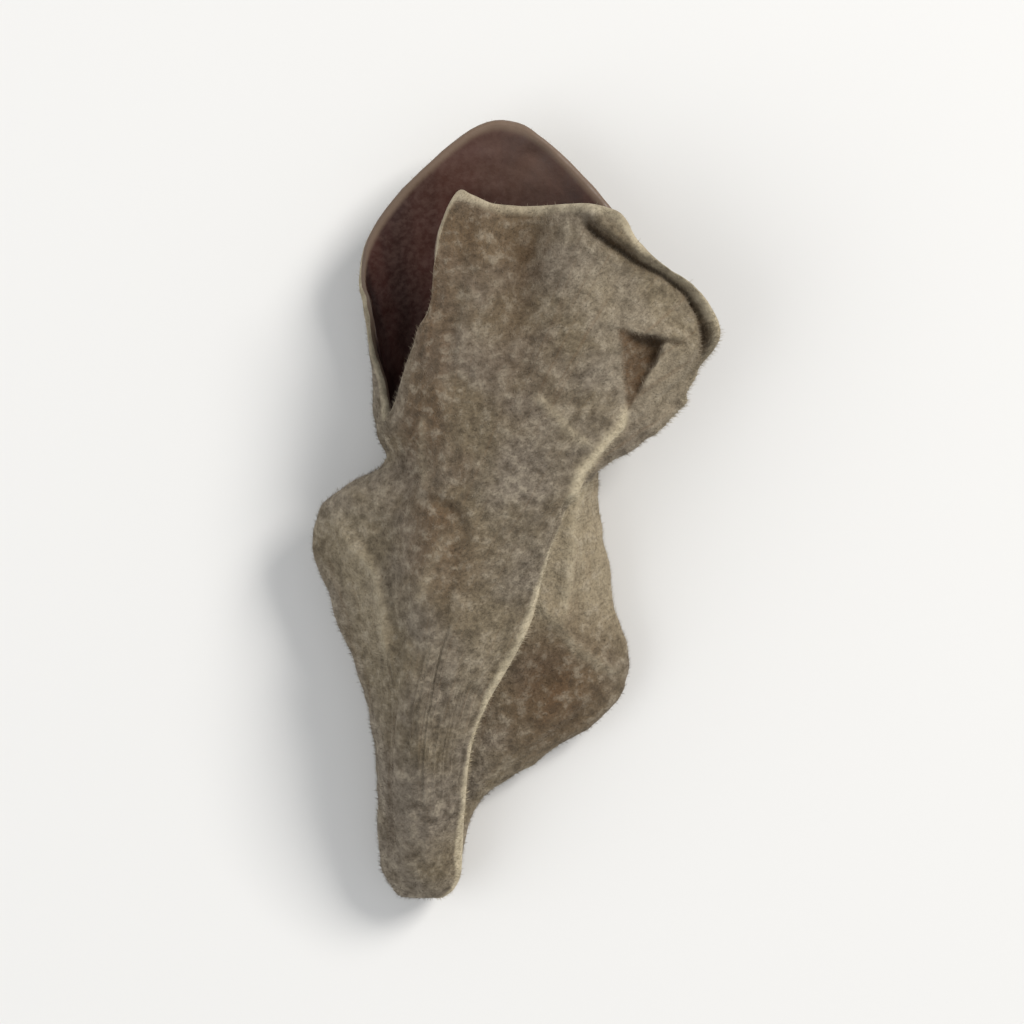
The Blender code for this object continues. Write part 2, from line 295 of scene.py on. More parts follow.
bandFolds = {
    "bandRidge": {"path": [(7.4, 8.5), (6.3, 4.8), (5.2, 0.6), (4.9, -5.5), (4.2, -9.0)],
                  "depth": -0.5, "width": 0.6, "lip": 0.0, "reach": 1.0, "shade": -0.3},
    "bandStep": {"path": [(1.0, -5.4), (4.2, -8.6), (5.9, -10.8), (8.4, -12.4), (10.8, -13.4)],
                 "depth": -0.25, "width": 0.5, "lip": 0.45, "reach": 2.6, "shade": -0.35},
    "bandCrease": {"path": [(9.4, -12.8), (5.6, -17.2), (1.0, -20.4)],
                   "depth": 0.25, "width": 0.5, "lip": -0.2, "reach": 2.0, "shade": 0.2},
}


def foldMarks(p, folds):          # height of the folds, and how dark or pale they are
    height = np.zeros(p.shape[:-1])
    shade = np.zeros(p.shape[:-1])
    for fold in folds.values():
        width = fold["width"]
        distance, side, place = distanceToPath(p, fold["path"])
        fade = ease(0.0, 0.18, place) * (1.0 - ease(0.82, 1.0, place))
        line = fade * bump(0.0, width, distance)
        onLip = distance * side * math.copysign(1.0, fold["lip"])
        lip = ease(-0.2, width, onLip) * (1.0 - ease(width, fold["reach"], onLip))
        height += fade * abs(fold["lip"]) * lip - fold["depth"] * line
        # painted shade in the creases, painted highlight on the ridges
        shade += fold["shade"] * line
    return height, shade


def edgeDistance(p):              # millimetres to the nearest free edge, along the sheet
    acrossSteps = np.linalg.norm(np.diff(p, axis=0), axis=2)
    alongSteps = np.linalg.norm(np.diff(p, axis=1), axis=2)
    zeroRow = np.zeros((1, p.shape[1]))
    zeroColumn = np.zeros((p.shape[0], 1))
    fromFreeEdge = np.vstack([zeroRow, np.cumsum(acrossSteps, axis=0)])
    fromTuckedEdge = np.vstack([np.cumsum(acrossSteps[::-1], axis=0)[::-1], zeroRow])
    fromMargin = np.hstack([np.cumsum(alongSteps[:, ::-1], axis=1)[:, ::-1], zeroColumn])
    return fromFreeEdge, fromTuckedEdge, fromMargin


def wrinkles(drawn, across, along):       # long wrinkles, broad shrinkage and small unevenness
    sheet = sheetSettings
    grain = sheet["puckerGrain"]
    veinNoise = noiseField(np.dstack([across * grain[0], along * grain[1], across * grain[2]]))
    stubNoise = noiseField(drawn * sheet["stubGrain"])
    onStub = 1.0 - ease(0.15, 0.45, along)    # here the veins run together, so wrinkles keep their spacing
    longWrinkles = 0.6 - 2.0 * np.abs(veinNoise + (stubNoise - veinNoise) * onStub)
    longFade = (0.5 + 0.5 * ease(0.05, 0.4, along)) * (1.0 - 0.6 * ease(0.3, 0.7, along))
    broad = noiseField(drawn / sheet["shrivelSize"] + 7.0, octaves=3)
    small = noiseField(drawn / sheet["crumpleSize"] + 3.0, octaves=2)
    return sheet["pucker"] * longWrinkles * longFade + sheet["shrivel"] * broad + sheet["crumple"] * small


def rolledEdge(along, fromFreeEdge):
    sheet = sheetSettings
    ridge = bump(sheet["edgeRollPlace"], sheet["edgeRollWidth"], fromFreeEdge)
    return sheet["edgeRoll"] * ridge * ease(0.1, 0.3, along)


def marginWaves(across, along, fromMargin):
    sheet = sheetSettings
    grain = sheet["waveGrain"]
    wave = noiseField(np.dstack([across * grain[0], along * grain[1], 0.0 * across + 5.0]))
    onBack = bump(veinPlace("back"), 0.13, across)
    size = sheet["marginWave"] + (sheet["backWave"] - sheet["marginWave"]) * onBack
    return size * (1.0 - ease(0.0, sheet["waveReach"], fromMargin)) * wave


def marginNicks(across, along, fromMargin):
    sheet = sheetSettings
    grain = sheet["nickGrain"]
    size = sheet["marginNick"] + sheet["flapNick"] * bump(veinPlace("flap"), 0.07, across)
    nick = size * noiseField(np.dstack([across * grain[0], 0.0 * along, across * grain[1]]), octaves=2)
    return nick * (1.0 - ease(0.0, sheet["nickReach"], fromMargin))


def shapeOuterSide(u, v):         # the outer side with its relief, its smooth normals and its marks
    sheet = sheetSettings
    drawn = drawnSheet(u, v)
    smooth = surfaceNormals(drawn)
    across, along = np.meshgrid(v, u, indexing="ij")
    fromFreeEdge, fromTuckedEdge, fromMargin = edgeDistance(drawn)

    front = 1.0 - ease(veinPlace("leftEdge"), veinPlace("leftFold"), across)
    band = ease(veinPlace("backRight"), veinPlace("rightFold"), across)
    hidden = ease(veinPlace("band") + 0.012, veinPlace("tuckedEdge"), across)
    calm = 1.0 - 0.8 * hidden                 # layers that lie on each other stay apart

    height = wrinkles(drawn, across, along) * (calm * ease(-0.3, 1.1, fromFreeEdge))
    height += rolledEdge(along, fromFreeEdge)
    frontHeight, frontShade = foldMarks(drawn, frontFolds)
    bandHeight, bandShade = foldMarks(drawn, bandFolds)
    bandHeight -= ovals(drawn, bandMarks["dent"])
    height += front * frontHeight + band * calm * bandHeight
    calmCorner = 1.0 - 0.8 * bump(veinPlace("leftEdge"), 0.06, across)
    height += marginWaves(across, along, fromMargin) * (calm * calmCorner)

    p = drawn + smooth * height[..., None]
    p = p + alongVeins(drawn) * marginNicks(across, along, fromMargin)[..., None]
    p[:, 0, 1] = sheet["stubMiddle"][1]       # the cut is flat
    p[..., 2] = np.maximum(p[..., 2] - sheet["settle"], 0.0)

    foldShade = front * frontShade + band * bandShade
    # painted highlight along the free edges and margin, and on the pale fold ridges
    rim = np.maximum(1.0 - ease(0.5, 1.25, fromFreeEdge), 0.5 * (1.0 - ease(0.15, 0.8, fromMargin)))
    marks = {
        "across": across,
        "along": along,
        "rim": np.maximum(rim, np.clip(-0.75 * foldShade, 0.0, 1.0)),
        "edge": np.minimum(np.minimum(fromFreeEdge, fromTuckedEdge), fromMargin),
    }
    marks.update(fleshMarks(drawn, across, along, front, band, foldShade))
    return p, smooth, marks


# soft oval marks in plan: strength, middle, half widths and turn in degrees
frontMarks = {
    # browner patches of the skin; the small one under the eye fold is painted shade in its hollow
    "brown": [(0.8, (-6.6, -1.6), (3.2, 4.6), 20.0), (0.8, (-7.4, 19.0), (2.2, 11.0), 0.0),
              (0.6, (-8.4, 9.0), (2.4, 4.0), 0.0), (0.6, (-3.0, 27.0), (4.5, 4.5), 0.0),
              (0.3, (-0.5, 17.0), (3.5, 8.0), 0.0), (0.4, (-6.6, 1.9), (2.2, 1.1), -10.0),
              (0.5, (-4.4, 5.8), (1.2, 1.7), 0.0)],
    # painted shade: darker down the valley below the mouth and in the hollows beside it
    "dark": [(0.48, (1.2, 25.6), (2.0, 3.8), 0.0), (0.22, (0.0, 17.0), (5.0, 5.5), 0.0),
             (0.14, (-4.4, 26.5), (2.5, 4.0), 0.0)],
    # on the left lobe the pale stands in for light on its shaded side and glare: painted light; the small
    # spot by the eye fold is a painted highlight
    "pale": [(1.1, (-15.2, -4.0), (3.2, 8.0), 10.0), (0.7, (13.6, 14.5), (4.5, 8.0), 0.0),
             (0.45, (7.4, 21.4), (3.6, 3.4), 0.0), (0.4, (-2.0, -10.0), (3.6, 10.0), 15.0),
             (0.6, (-3.1, 1.3), (0.8, 0.8), 0.0)],
}
bandMarks = {
    "brown": [(1.0, (3.6, -14.4), (4.6, 5.6), -30.0)],
    # painted shade in the dent
    "dark": [(0.36, (2.4, -12.6), (2.0, 4.0), -20.0), (0.2, (4.6, -15.6), (5.0, 4.5), 0.0)],
    "dent": [(0.9, (3.2, -13.2), (2.6, 3.6), -25.0)],
}


def ovals(p, marks):
    total = np.zeros(p.shape[:-1])
    for strength, middle, size, turn in marks:
        x, y = p[..., 0] - middle[0], p[..., 1] - middle[1]
        angle = math.radians(turn)
        alongWay = x * math.cos(angle) + y * math.sin(angle)
        acrossWay = y * math.cos(angle) - x * math.sin(angle)
        total += strength * np.exp(-(alongWay / size[0]) ** 2 - (acrossWay / size[1]) ** 2)
    return total


def fleshMarks(p, across, along, front, band, foldShade):    # where the skin is brown, dark, pale or dusty
    fromTop, fromRight, fromLeft = insidePocket(p)
    # inside the pocket the skin is painted browner and darker, darkest along its steep top and right walls:
    # painted shade in the hollow
    inPocket = ease(-0.1, 0.25, fromTop) * ease(-0.1, 0.3, fromRight) * ease(-0.3, 0.4, fromLeft)
    steepSide = bump(0.1, 0.45, np.minimum(fromTop, fromRight))
    pocketDark = inPocket * (0.32 + 0.2 * ease(0.4, 2.6, fromLeft) + 0.12 * steepSide)
    brown = front * (ovals(p, frontMarks["brown"]) + inPocket) + band * ovals(p, bandMarks["brown"])
    dark = front * (ovals(p, frontMarks["dark"]) + pocketDark) + band * ovals(p, bandMarks["dark"])
    pale = front * ovals(p, frontMarks["pale"]) + 0.95 * band * ease(-12.0, -6.0, p[..., 1])
    fields = {
        "brown": brown,
        # the fold shade paints the creases darker (painted shade) and the ridges paler (painted highlight)
        "dark": dark + np.maximum(foldShade, 0.0),
        "pale": pale + np.maximum(-foldShade, 0.0),
        "dusty": 0.85 * ease(0.86, 1.0, along) * bump(veinPlace("back") + 0.022, 0.04, across),
    }
    return {name: np.clip(field, 0.0, 1.0) for name, field in fields.items()}


def innerSide(outer, smooth, u):
    sheet = sheetSettings
    thinned = ease(0.0, sheet["thinnedBy"], u)
    flesh = sheet["fleshAtFoot"] + (sheet["fleshAtMargin"] - sheet["fleshAtFoot"]) * thinned
    inner = outer - smooth * flesh[None, :, None]
    hollow = ease(0.0, sheet["solidStub"], u)[None, :, None]
    step = np.linspace(*sheet["slitPlaces"], outer.shape[0])[:, None, None]
    slit = outer[:1] + (outer[-1:] - outer[:1]) * step
    return slit + (inner - slit) * hollow, flesh


def borderWalk(nv, nu):           # grid places round the sheet, in the order of the outer faces
    walk = [(0, j) for j in range(nu)]
    walk += [(i, nu) for i in range(nv)]
    walk += [(nv, j) for j in range(nu, 0, -1)]
    walk += [(i, 0) for i in range(nv, 0, -1)]
    return np.array(walk).T


def outwardAtBorder(outer, rows, columns):    # along the sheet, and nothing at the cut foot
    outward = np.zeros((len(rows), 3))
    outward[rows == 0] += (outer[0] - outer[1])[columns[rows == 0]]
    outward[rows == len(outer) - 1] += (outer[-1] - outer[-2])[columns[rows == len(outer) - 1]]
    atMargin = columns == outer.shape[1] - 1
    outward[atMargin] += (outer[:, -1] - outer[:, -2])[rows[atMargin]]
    return unit(outward)


def roundedRings(top, bottom, outward, bulge):    # rings of points between the two sides
    steps = sheetSettings["edgeSteps"]
    rings = []
    for step in range(1, steps):
        angle = step * math.pi / steps
        ring = top + (bottom - top) * (1.0 - math.cos(angle)) / 2.0 + outward * bulge * math.sin(angle)
        ring[:, 2] = np.maximum(ring[:, 2], 0.0)
        rings.append(ring)
    return rings


def placeInFrame(points, drawn):  # the drawing is in millimetres round its own middle
    low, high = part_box("ear")
    points[:, :2] -= (drawn.min(axis=(0, 1)) + drawn.max(axis=(0, 1))) / 2.0
    points *= mm
    points[:, :2] += (np.array(low) + np.array(high))[:2] / 2.0
    return points


def storeMarks(mesh, marks, veinWay, rows, columns):
    def everywhere(field):        # the same value on the outer side, the inner side and the edge
        rings = sheetSettings["edgeSteps"] - 1
        return np.concatenate([field.ravel(), field.ravel(), np.tile(field[rows, columns].ravel(), rings)])

    for name, field in marks.items():
        mesh.attributes.new(name, "FLOAT", "POINT").data.foreach_set("value", everywhere(field))
    mesh.attributes.new("veinWay", "FLOAT_VECTOR", "POINT").data.foreach_set("vector", everywhere(veinWay))
    outside = np.zeros(len(mesh.vertices))
    outside[:veinWay.shape[0] * veinWay.shape[1]] = 1.0
    mesh.attributes.new("outside", "FLOAT", "POINT").data.foreach_set("value", outside)


def sheetMesh():
    sheet = sheetSettings
    coarse = 1
    nv, nu = sheet["stepsAcross"] // coarse, sheet["stepsAlong"] // coarse
    u = np.interp(np.linspace(0.0, 1.0, nu + 1), *zip(*sheet["rowPlaces"]))
    v = np.interp(np.linspace(0.0, 1.0, nv + 1), *zip(*sheet["columnPlaces"]))
    outer, smooth, marks = shapeOuterSide(u, v)
    inner, flesh = innerSide(outer, smooth, u)

    count = (nv + 1) * (nu + 1)
    index = np.arange(count).reshape(nv + 1, nu + 1)
    quads = np.stack([index[:-1, :-1], index[:-1, 1:], index[1:, 1:], index[1:, :-1]], axis=-1).reshape(-1, 4)
    faces = quads.tolist() + (quads[:, ::-1] + count).tolist()
    finishes = [0] * len(quads) + [1] * len(quads)

    rows, columns = borderWalk(nv, nu)
    top, bottom = outer[rows, columns], inner[rows, columns]
    bulge = (ease(0.0, sheet["solidStub"], u)[columns] * flesh[columns] * sheet["edgeBulge"])[:, None]
    rings = roundedRings(top, bottom, outwardAtBorder(outer, rows, columns), bulge)
    points = np.vstack([outer.reshape(-1, 3), inner.reshape(-1, 3)] + rings)

    ringIndex = [2 * count + step * len(rows) + np.arange(len(rows)) for step in range(len(rings))]
    ringIndex = [index[rows, columns]] + ringIndex + [index[rows, columns] + count]
    atCut = (columns == 0) & (np.roll(columns, -1) == 0)
    for step, (first, second) in enumerate(zip(ringIndex[:-1], ringIndex[1:])):
        strip = np.stack([np.roll(first, -1), first, second, np.roll(second, -1)], axis=-1)
        faces += strip.tolist()
        finishes += [2 if cut else int(step > 1) for cut in atCut]

    mesh = bpy.data.meshes.new("dried_ear")
    mesh.from_pydata(placeInFrame(points, drawnSheet(u, v)[..., :2]).tolist(), [], faces)
    mesh.polygons.foreach_set("material_index", finishes)
    mesh.shade_smooth()
    storeMarks(mesh, marks, alongVeins(outer), rows, columns)
    mesh.validate()
    return mesh


def colour(red, green, blue):     # screen colour 0-255 to linear
    channels = [c / 255.0 for c in (red, green, blue)]
    return (*[c / 12.92 if c <= 0.04045 else ((c + 0.055) / 1.055) ** 2.4 for c in channels], 1.0)


def newMaterial(name):
    material = bpy.data.materials.new(name)
    material.use_nodes = True
    nodes, links = material.node_tree.nodes, material.node_tree.links
    return material, nodes, links, nodes["Principled BSDF"]


def addNode(nodes, kind, **values):
    node = nodes.new(kind)
    for name, value in values.items():
        if name in node.inputs.keys():
            node.inputs[name].default_value = value
        else:
            setattr(node, name, value)
    return node


def noiseNode(nodes, links, coords, scale, detail=2.0, roughness=0.5):
    node = addNode(nodes, "ShaderNodeTexNoise", Scale=scale, Detail=detail, Roughness=roughness)
    links.new(coords, node.inputs["Vector"])
    return node.outputs["Fac"]


def rangeNode(nodes, links, value, low, high, toLow=0.0, toHigh=1.0):
    node = nodes.new("ShaderNodeMapRange")
    node.interpolation_type = "SMOOTHSTEP"
    for place, number in zip((1, 2, 3, 4), (low, high, toLow, toHigh)):
        node.inputs[place].default_value = number
    links.new(value, node.inputs[0])
    return node.outputs[0]


def mixNode(nodes, links, factor, first, second):
    node = nodes.new("ShaderNodeMix")
    node.data_type = "RGBA"
    links.new(factor, node.inputs[0])
    for socket, value in ((node.inputs[6], first), (node.inputs[7], second)):
        if isinstance(value, tuple):
            socket.default_value = value
        else:
            links.new(value, socket)
    return node.outputs[2]


def mathNode(nodes, links, operation, first, second):
    node = nodes.new("ShaderNodeMath")
    node.operation = operation
    for socket, value in zip(node.inputs, (first, second)):
        if isinstance(value, (int, float)):
            socket.default_value = value
        else:
            links.new(value, socket)
    return node.outputs[0]


def attributeNode(nodes, name):
    node = nodes.new("ShaderNodeAttribute")
    node.attribute_name = name
    return node.outputs["Fac"]


def veinCoordsNode(nodes, links, acrossScale, alongScale):    # streaks that run with the veins
    combine = nodes.new("ShaderNodeCombineXYZ")
    across = mathNode(nodes, links, "MULTIPLY", attributeNode(nodes, "across"), acrossScale)
    along = mathNode(nodes, links, "MULTIPLY", attributeNode(nodes, "along"), alongScale)
    links.new(across, combine.inputs[0])
    links.new(along, combine.inputs[1])
    return combine.outputs[0]


def bumpChain(nodes, links, shader, heights):     # each height with its strength and depth in metres
    previous = None
    for height, strength, depth in heights:
        node = addNode(nodes, "ShaderNodeBump", Strength=strength, Distance=depth)
        links.new(height, node.inputs["Height"])
        if previous:
            links.new(previous, node.inputs["Normal"])
        previous = node.outputs["Normal"]
    links.new(previous, shader.inputs["Normal"])


feltColours = {
    "grey": colour(116, 106, 93),
    "olive": colour(110, 98, 78),
    # brown of the patches and streaks, and painted shade inside the pocket
    "brownAndShade": colour(98, 75, 52),
    "gap": colour(62, 52, 40),
    "tuft": colour(158, 147, 128),
    # pale: the band's paler tone, and painted highlight on the left lobe, the ridges and the spot by the eye
    # fold
    "pale": colour(150, 137, 113),
    # dark: painted shade in the hollows, creases, dent and pocket
    "dark": colour(60, 39, 14),
    # rim: painted highlight along the edges and ridges
    "rim": colour(186, 174, 148),
    "strand": colour(168, 157, 138),
    "sheen": colour(210, 198, 176),
}


feltGrain = {"patches": 130.0, "clumps": 480.0, "mottle": 950.0, "specks": 3600.0, "strands": 2600.0}
feltStreaks = (90.0, 3.0)         # round the roll, and from foot to margin


def feltPattern(nodes, links):    # what the skin and the hairs both read
    place = nodes.new("ShaderNodeTexCoord").outputs["Object"]
    mottle = noiseNode(nodes, links, place, feltGrain["mottle"], 3.0, 0.6)
    streaks = noiseNode(nodes, links, veinCoordsNode(nodes, links, *feltStreaks), 1.0, 3.0, 0.6)
    return place, mottle, streaks


def feltBase(nodes, links, place, mottle, streaks):       # the colour that skin and hairs share
    tones = feltColours
    patches = noiseNode(nodes, links, place, feltGrain["patches"], 3.0)
    specks = noiseNode(nodes, links, place, feltGrain["specks"], 2.0, 0.6)
    clumps = noiseNode(nodes, links, place, feltGrain["clumps"], 2.0, 0.6)
    base = mixNode(nodes, links, rangeNode(nodes, links, patches, 0.38, 0.62), tones["grey"], tones["olive"])
    paleShare = mathNode(nodes, links, "MULTIPLY", attributeNode(nodes, "pale"), 0.85)
    base = mixNode(nodes, links, paleShare, base, tones["pale"])
    brownShare = mathNode(nodes, links, "MULTIPLY", attributeNode(nodes, "brown"),
                          rangeNode(nodes, links, streaks, 0.25, 0.6, 0.5, 1.0))
    base = mixNode(nodes, links, brownShare, base, tones["brownAndShade"])
    even = mathNode(nodes, links, "SUBTRACT", 1.0,
                    mathNode(nodes, links, "MULTIPLY", attributeNode(nodes, "pale"), 0.6))
    gaps = mathNode(nodes, links, "MULTIPLY", rangeNode(nodes, links, mottle, 0.30, 0.52, 0.6, 0.0), even)
    base = mixNode(nodes, links, gaps, base, tones["gap"])
    wideGaps = mathNode(nodes, links, "MULTIPLY", rangeNode(nodes, links, clumps, 0.32, 0.5, 0.15, 0.0), even)
    base = mixNode(nodes, links, wideGaps, base, tones["gap"])
    base = mixNode(nodes, links, rangeNode(nodes, links, mottle, 0.50, 0.68, 0.0, 0.45), base, tones["tuft"])
    base = mixNode(nodes, links, rangeNode(nodes, links, clumps, 0.52, 0.7, 0.0, 0.18), base, tones["tuft"])
    base = mixNode(nodes, links, rangeNode(nodes, links, specks, 0.42, 0.66, 0.0, 0.3), base, tones["gap"])
    streakShare = mathNode(nodes, links, "MULTIPLY", rangeNode(nodes, links, streaks, 0.3, 0.45, 0.3, 0.0),
                           rangeNode(nodes, links, attributeNode(nodes, "along"), 0.1, 0.5, 0.3, 1.0))
    base = mixNode(nodes, links, streakShare, base, tones["brownAndShade"])
    # mixes in the painted shade
    base = mixNode(nodes, links, attributeNode(nodes, "dark"), base, tones["dark"])
    # painted highlight along the rims
    rimShare = mathNode(nodes, links, "MULTIPLY", attributeNode(nodes, "rim"),
                        rangeNode(nodes, links, mottle, 0.3, 0.6, 0.6, 0.95))
    return mixNode(nodes, links, rimShare, base, tones["rim"])


def feltedSkin():
    material, nodes, links, shader = newMaterial("felted_skin")
    place, mottle, streaks = feltPattern(nodes, links)
    specks = noiseNode(nodes, links, place, feltGrain["specks"], 2.0, 0.6)
    raised = mathNode(nodes, links, "MULTIPLY", streaks,
                      rangeNode(nodes, links, attributeNode(nodes, "along"), 0.1, 0.5, 0.2, 1.0))
    links.new(feltBase(nodes, links, place, mottle, streaks), shader.inputs["Base Color"])
    links.new(rangeNode(nodes, links, mottle, 0.3, 0.7, 0.95, 0.78), shader.inputs["Roughness"])
    shader.inputs["Sheen Weight"].default_value = 0.2
    shader.inputs["Sheen Roughness"].default_value = 0.6
    shader.inputs["Sheen Tint"].default_value = feltColours["sheen"]
    shader.inputs["Specular IOR Level"].default_value = 0.25
    bumpChain(nodes, links, shader, [(mottle, 0.9, 0.00034), (specks, 0.7, 0.00009), (raised, 0.4, 0.0002)])
    return material


innerColours = {
    "dark": colour(43, 26, 23),
    "red": colour(62, 35, 30),
    "dusty": colour(98, 74, 62),
    "rim": colour(112, 94, 78),
}
innerGrain = {"patches": 160.0, "fine": 1800.0}
innerStreaks = (55.0, 2.4)


def innerSkin():
    material, nodes, links, shader = newMaterial("inner_skin")
    tones = innerColours
    place = nodes.new("ShaderNodeTexCoord").outputs["Object"]
    patches = noiseNode(nodes, links, place, innerGrain["patches"], 3.0)
    fine = noiseNode(nodes, links, place, innerGrain["fine"], 3.0, 0.6)
    streaks = noiseNode(nodes, links, veinCoordsNode(nodes, links, *innerStreaks), 1.0, 2.0, 0.5)
    base = mixNode(nodes, links, rangeNode(nodes, links, streaks, 0.3, 0.7), tones["dark"], tones["red"])
    base = mixNode(nodes, links, rangeNode(nodes, links, fine, 0.35, 0.7, 0.0, 0.2), base, tones["dusty"])
    dustShare = mathNode(nodes, links, "MULTIPLY", attributeNode(nodes, "dusty"),
                         rangeNode(nodes, links, patches, 0.3, 0.6, 0.5, 1.0))
    base = mixNode(nodes, links, dustShare, base, tones["dusty"])
    rim = rangeNode(nodes, links, attributeNode(nodes, "edge"), 0.1, 0.8, 0.75, 0.0)
    base = mixNode(nodes, links, rim, base, tones["rim"])
    links.new(base, shader.inputs["Base Color"])
    links.new(rangeNode(nodes, links, fine, 0.3, 0.7, 0.4, 0.65), shader.inputs["Roughness"])
    shader.inputs["Specular IOR Level"].default_value = 0.3
    bumpChain(nodes, links, shader, [(streaks, 0.7, 0.0003), (fine, 0.4, 0.00008)])
    return material


cutColours = {
    "dark": colour(96, 76, 54),
    "light": colour(150, 130, 100),
    "pore": colour(62, 45, 30),
}
cutGrain = {"grain": 1400.0, "pores": 420.0}


def cutFlesh():
    material, nodes, links, shader = newMaterial("cut_flesh")
    tones = cutColours
    place = nodes.new("ShaderNodeTexCoord").outputs["Object"]
    grain = noiseNode(nodes, links, place, cutGrain["grain"], 4.0, 0.65)
    pores = noiseNode(nodes, links, place, cutGrain["pores"], 2.0)
    base = mixNode(nodes, links, rangeNode(nodes, links, grain, 0.3, 0.7), tones["dark"], tones["light"])
    base = mixNode(nodes, links, rangeNode(nodes, links, pores, 0.35, 0.5, 0.6, 0.0), base, tones["pore"])
    links.new(base, shader.inputs["Base Color"])
    links.new(rangeNode(nodes, links, grain, 0.3, 0.7, 0.95, 0.75), shader.inputs["Roughness"])
    bumpChain(nodes, links, shader, [(grain, 0.9, 0.0002)])
    return material


def hairFibre():
    material, nodes, links, shader = newMaterial("hair_fibre")
    place, mottle, streaks = feltPattern(nodes, links)
    tone = noiseNode(nodes, links, place, feltGrain["strands"], 1.0)
    base = feltBase(nodes, links, place, mottle, streaks)
    lit = mathNode(nodes, links, "SUBTRACT", 1.0, attributeNode(nodes, "dark"))
    paleShare = mathNode(nodes, links, "MULTIPLY", rangeNode(nodes, links, tone, 0.4, 0.65, 0.05, 0.4), lit)
    base = mixNode(nodes, links, paleShare, base, feltColours["strand"])
    links.new(base, shader.inputs["Base Color"])
    shader.inputs["Roughness"].default_value = 0.75
    shader.inputs["Specular IOR Level"].default_value = 0.3
    return material


# the short hairs of the outer side: places are shares across the sheet, rows are shares along it,
# and density is hairs a square metre
hairSettings = {
    "hairs_front": {"firstPlace": 0.0, "lastPlace": 0.36, "firstRow": 0.0,
                    "density": 26.0e6, "length": 0.42, "seed": 3},
    "hairs_left": {"firstPlace": 0.36, "lastPlace": 0.66, "firstRow": 0.0,
                   "density": 16.0e6, "length": 0.4, "seed": 5},
    "hairs_back": {"firstPlace": 0.66, "lastPlace": 1.0, "firstRow": 0.0,
                   "density": 16.0e6, "length": 0.36, "seed": 8},
    "flap_fringe": {"firstPlace": 0.0, "lastPlace": 0.2, "firstRow": 0.985,
                    "density": 60.0e6, "length": 0.55, "seed": 9},
}
hairShape = {
    "thickness": 0.019,          # mm
    "lowest": 0.6,               # mm above the floor
    "lean": 0.9,                 # along the veins, against 1 upright
    "stray": 0.75,
    "shortest": 0.45,            # share of the set length
    "longest": 1.3,
}


